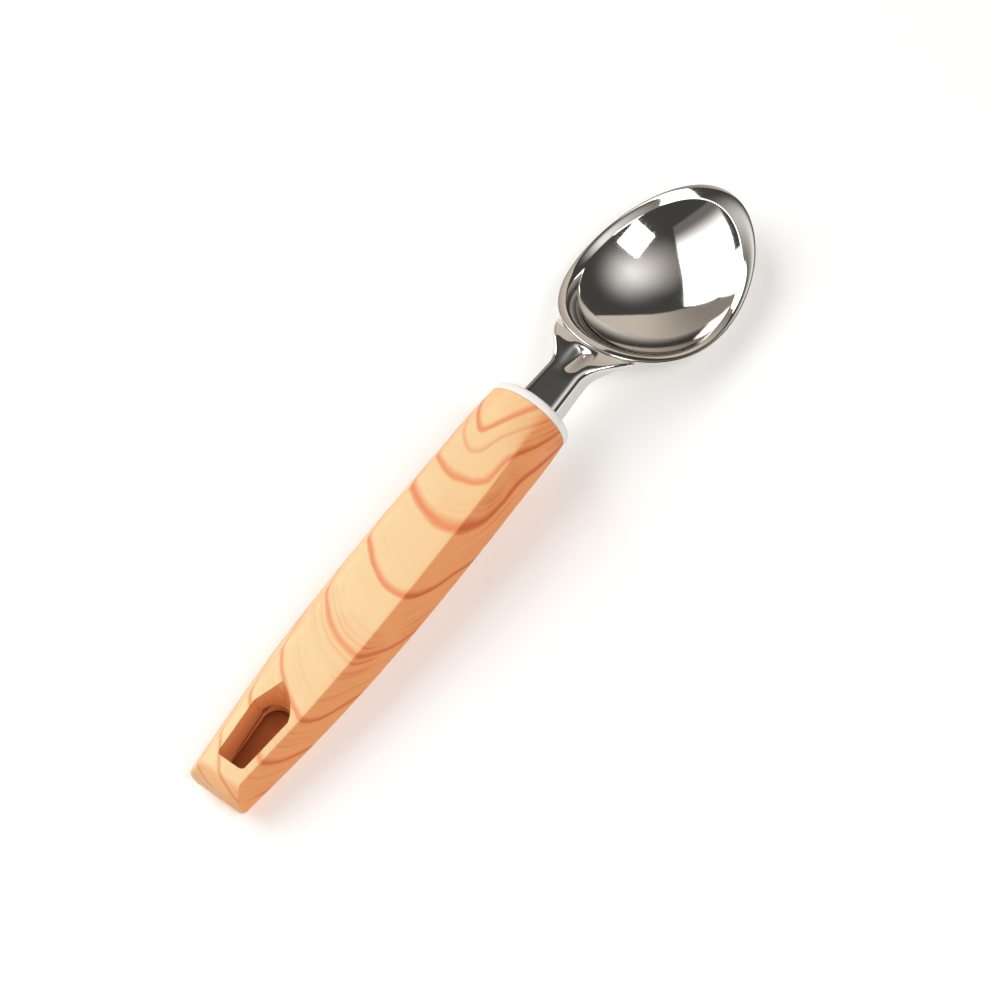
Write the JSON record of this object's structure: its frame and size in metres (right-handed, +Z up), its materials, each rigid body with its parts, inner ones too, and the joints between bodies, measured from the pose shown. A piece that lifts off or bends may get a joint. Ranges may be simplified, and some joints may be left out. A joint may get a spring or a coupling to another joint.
{
  "type": "ice cream scoop",
  "caption": "Solid ice cream scoop: oval pressed steel bowl on a channel neck, white collar and a faceted wood-effect plastic grip with a hanging slot.",
  "frame": {"origin": "on the surface the scoop lies on, under the middle of its bounding box", "axes": "+X along the scoop from the butt of the grip to the tip of the bowl, +Y to the left seen from the butt, +Z up; the scoop lies bowl up on the bottom of its bowl and the lower edge of its butt"},
  "size_m": [0.2062, 0.044, 0.0258],
  "materials": {
    "polished_steel": "mirror-polished stainless steel sheet, no plating",
    "weld_steel": "ground weld",
    "white_plastic": "smooth white, slightly glossy",
    "core_plastic": "plain white, hidden",
    "pin_steel": "plain wire, hidden",
    "wood_effect_plastic": "satin moulded plastic with a printed wood grain in darker orange brown"
  },
  "bodies": {
    "root": {"bowl": "polished_steel", "neck": "polished_steel", "weld_seam_left": "weld_steel", "weld_seam_right": "weld_steel", "front_collar": "white_plastic", "tang_core": "core_plastic", "tang_pin_front": "pin_steel", "tang_pin_rear": "pin_steel", "handle_shell": "wood_effect_plastic"}
  },
  "joints": []
}
